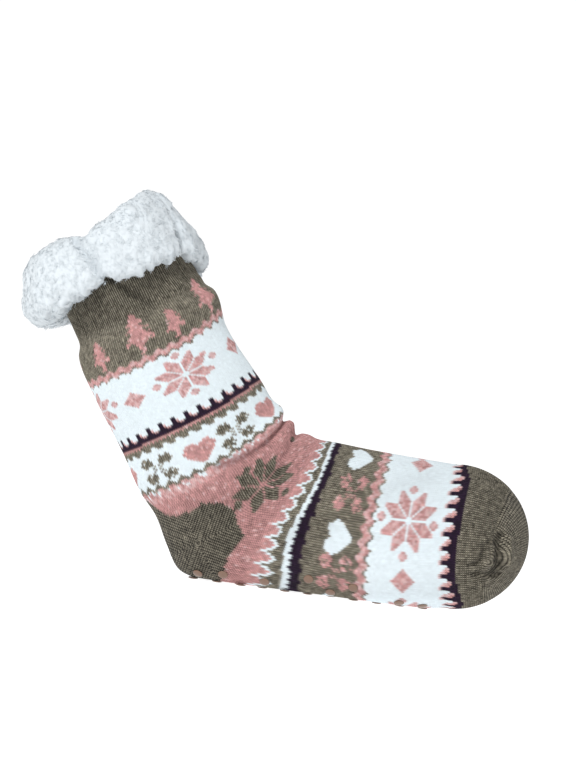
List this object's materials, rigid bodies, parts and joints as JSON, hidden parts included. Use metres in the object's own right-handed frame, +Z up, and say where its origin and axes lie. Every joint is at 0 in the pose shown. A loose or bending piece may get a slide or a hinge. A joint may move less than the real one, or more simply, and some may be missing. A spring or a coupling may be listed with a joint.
{
  "type": "slipper sock",
  "caption": "Knitted slipper sock with a fleece lining, a turned-down fleece cuff, patterned bands, plain heel and toe pockets and grip dots under the sole.",
  "frame": {"origin": "on the floor, at the flat face of the grip dot under the middle of the heel", "axes": "+X from heel to toe, +Y to the side away from the picture's camera, +Z up"},
  "size_m": [0.3631, 0.104, 0.2547],
  "materials": {
    "knit": "matte jersey knit in patterned bands",
    "fleece": "matte curly fleece pile",
    "grip": "translucent, satin"
  },
  "bodies": {
    "root": {"knit_upper": "knit", "fleece_lining": "fleece", "fleece_cuff": "fleece", "grip_dot_01": "grip", "grip_dot_02": "grip", "grip_dot_03": "grip", "grip_dot_04": "grip", "grip_dot_05": "grip", "grip_dot_06": "grip", "grip_dot_07": "grip", "grip_dot_08": "grip", "grip_dot_09": "grip", "grip_dot_10": "grip", "grip_dot_11": "grip", "grip_dot_12": "grip", "grip_dot_13": "grip", "grip_dot_14": "grip", "grip_dot_15": "grip", "grip_dot_16": "grip", "grip_dot_17": "grip", "grip_dot_18": "grip", "grip_dot_19": "grip", "grip_dot_20": "grip", "grip_dot_21": "grip", "grip_dot_22": "grip", "grip_dot_23": "grip", "grip_dot_24": "grip", "grip_dot_25": "grip", "grip_dot_26": "grip", "grip_dot_27": "grip", "grip_dot_28": "grip", "grip_dot_29": "grip", "grip_dot_30": "grip", "grip_dot_31": "grip", "grip_dot_32": "grip", "grip_dot_33": "grip", "grip_dot_34": "grip", "grip_dot_35": "grip", "grip_dot_36": "grip", "grip_dot_37": "grip", "grip_dot_38": "grip", "grip_dot_39": "grip", "grip_dot_40": "grip", "grip_dot_41": "grip", "grip_dot_42": "grip", "grip_dot_43": "grip", "grip_dot_44": "grip", "grip_dot_45": "grip", "grip_dot_46": "grip", "grip_dot_47": "grip", "grip_dot_48": "grip", "grip_dot_49": "grip"}
  },
  "joints": []
}
